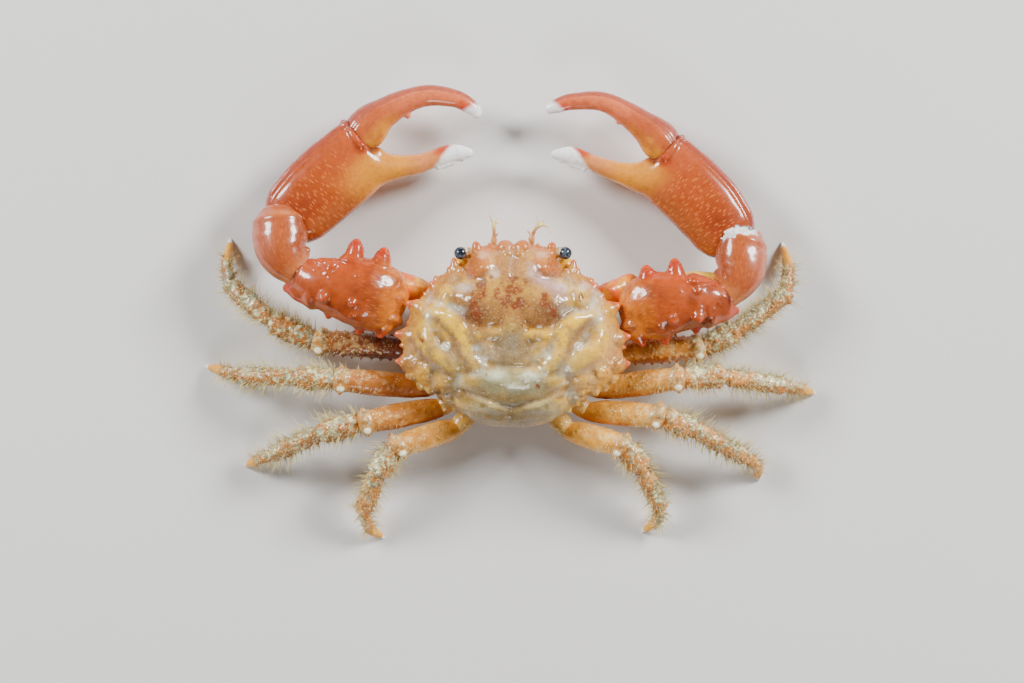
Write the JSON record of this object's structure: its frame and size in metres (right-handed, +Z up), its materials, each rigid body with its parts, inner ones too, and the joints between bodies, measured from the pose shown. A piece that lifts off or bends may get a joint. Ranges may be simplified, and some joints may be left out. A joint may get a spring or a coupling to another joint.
{
  "type": "red ridged clinging crab",
  "caption": "Life-size still model of a ridged clinging crab, claws curved forward and bristly legs spread, standing on its leg tips.",
  "frame": {"origin": "middle of the bounding box in plan, on the floor that the leg tips stand on", "axes": "+X to the animal's right, +Y to its front, +Z up"},
  "size_m": [0.0746, 0.0554, 0.0137],
  "materials": {
    "shell": "wet gloss",
    "claws": "wet gloss",
    "legs": "satin",
    "underside": "satin",
    "eyes": "gloss",
    "feelers": "satin"
  },
  "bodies": {
    "root": {"antenna_left": "feelers", "antenna_right": "feelers", "carapace": "shell", "eye_left": "eyes", "eye_right": "eyes", "left_claw_carpus": "claws", "left_claw_dactyl": "claws", "left_claw_ischium": "claws", "left_claw_merus": "claws", "left_claw_palm": "claws", "left_leg_1_carpus": "legs", "left_leg_1_coxa": "legs", "left_leg_1_dactyl": "legs", "left_leg_1_merus": "legs", "left_leg_1_propodus": "legs", "left_leg_2_carpus": "legs", "left_leg_2_coxa": "legs", "left_leg_2_dactyl": "legs", "left_leg_2_merus": "legs", "left_leg_2_propodus": "legs", "left_leg_3_carpus": "legs", "left_leg_3_coxa": "legs", "left_leg_3_dactyl": "legs", "left_leg_3_merus": "legs", "left_leg_3_propodus": "legs", "left_leg_4_carpus": "legs", "left_leg_4_coxa": "legs", "left_leg_4_dactyl": "legs", "left_leg_4_merus": "legs", "left_leg_4_propodus": "legs", "mouth_flap_left": "underside", "mouth_flap_right": "underside", "pleon": "underside", "right_claw_carpus": "claws", "right_claw_dactyl": "claws", "right_claw_ischium": "claws", "right_claw_merus": "claws", "right_claw_palm": "claws", "right_leg_1_carpus": "legs", "right_leg_1_coxa": "legs", "right_leg_1_dactyl": "legs", "right_leg_1_merus": "legs", "right_leg_1_propodus": "legs", "right_leg_2_carpus": "legs", "right_leg_2_coxa": "legs", "right_leg_2_dactyl": "legs", "right_leg_2_merus": "legs", "right_leg_2_propodus": "legs", "right_leg_3_carpus": "legs", "right_leg_3_coxa": "legs", "right_leg_3_dactyl": "legs", "right_leg_3_merus": "legs", "right_leg_3_propodus": "legs", "right_leg_4_carpus": "legs", "right_leg_4_coxa": "legs", "right_leg_4_dactyl": "legs", "right_leg_4_merus": "legs", "right_leg_4_propodus": "legs", "thorax": "underside"}
  },
  "joints": []
}
